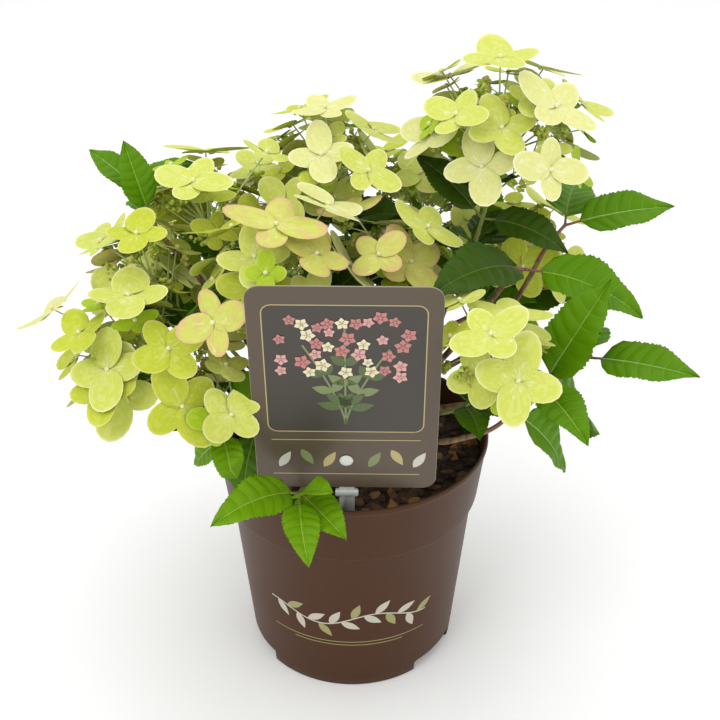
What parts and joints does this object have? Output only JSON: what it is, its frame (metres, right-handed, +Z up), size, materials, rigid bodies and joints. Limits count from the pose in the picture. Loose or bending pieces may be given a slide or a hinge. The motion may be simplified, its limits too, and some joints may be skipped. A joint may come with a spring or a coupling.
{
  "type": "potted panicle hydrangea",
  "caption": "Flowering shrub in a round nursery pot: a short forked trunk, domed lime-green flower heads, leafy shoots and a label card on a stake.",
  "frame": {"origin": "centre of the pot's flat underside", "axes": "+Z up; -Y towards the side that the label card faces; +X to the right seen from there"},
  "size_m": [0.422, 0.3324, 0.4315],
  "materials": {
    "pot": "satin brown plastic",
    "soil": "damp bark compost",
    "card": "printed satin plastic card",
    "stake": "translucent pale plastic",
    "bark": "thin tan bark",
    "blossom": "soft lime-green petals",
    "leaf": "satin green leaves"
  },
  "bodies": {
    "root": {"bough_head_back_left": "bark", "bough_head_back_right": "bark", "bough_head_far_left": "bark", "bough_head_front": "bark", "bough_head_front_right": "bark", "bough_head_left": "bark", "bough_head_low_left": "bark", "bough_head_middle": "bark", "bough_head_rear_left": "bark", "bough_head_rear_right": "bark", "bough_head_top": "bark", "bough_head_top_left": "bark", "bough_head_top_right": "bark", "bough_shoot_left_high": "bark", "bough_shoot_pot_front": "bark", "bough_shoot_pot_left": "bark", "bough_shoot_rear_left": "bark", "bough_shoot_rear_middle": "bark", "bough_shoot_rear_right": "bark", "bough_shoot_right_front": "bark", "bough_shoot_right_high": "bark", "bough_shoot_right_low": "bark", "bough_shoot_right_middle": "bark", "flower_head_back_left": "blossom", "flower_head_back_right": "blossom", "flower_head_far_left": "blossom", "flower_head_front": "blossom", "flower_head_front_right": "blossom", "flower_head_left": "blossom", "flower_head_low_left": "blossom", "flower_head_middle": "blossom", "flower_head_rear_left": "blossom", "flower_head_rear_right": "blossom", "flower_head_top": "blossom", "flower_head_top_left": "blossom", "flower_head_top_right": "blossom", "label_card": "card", "label_stake": "stake", "leafy_shoot_left_high": "leaf", "leafy_shoot_pot_front": "leaf", "leafy_shoot_pot_left": "leaf", "leafy_shoot_rear_left": "leaf", "leafy_shoot_rear_middle": "leaf", "leafy_shoot_rear_right": "leaf", "leafy_shoot_right_front": "leaf", "leafy_shoot_right_high": "leaf", "leafy_shoot_right_low": "leaf", "leafy_shoot_right_middle": "leaf", "pot": "pot", "soil": "soil", "stem_back_left": "bark", "stem_back_right": "bark", "stem_front": "bark", "stem_left": "bark", "stem_right": "bark", "trunk": "bark"}
  },
  "joints": []
}
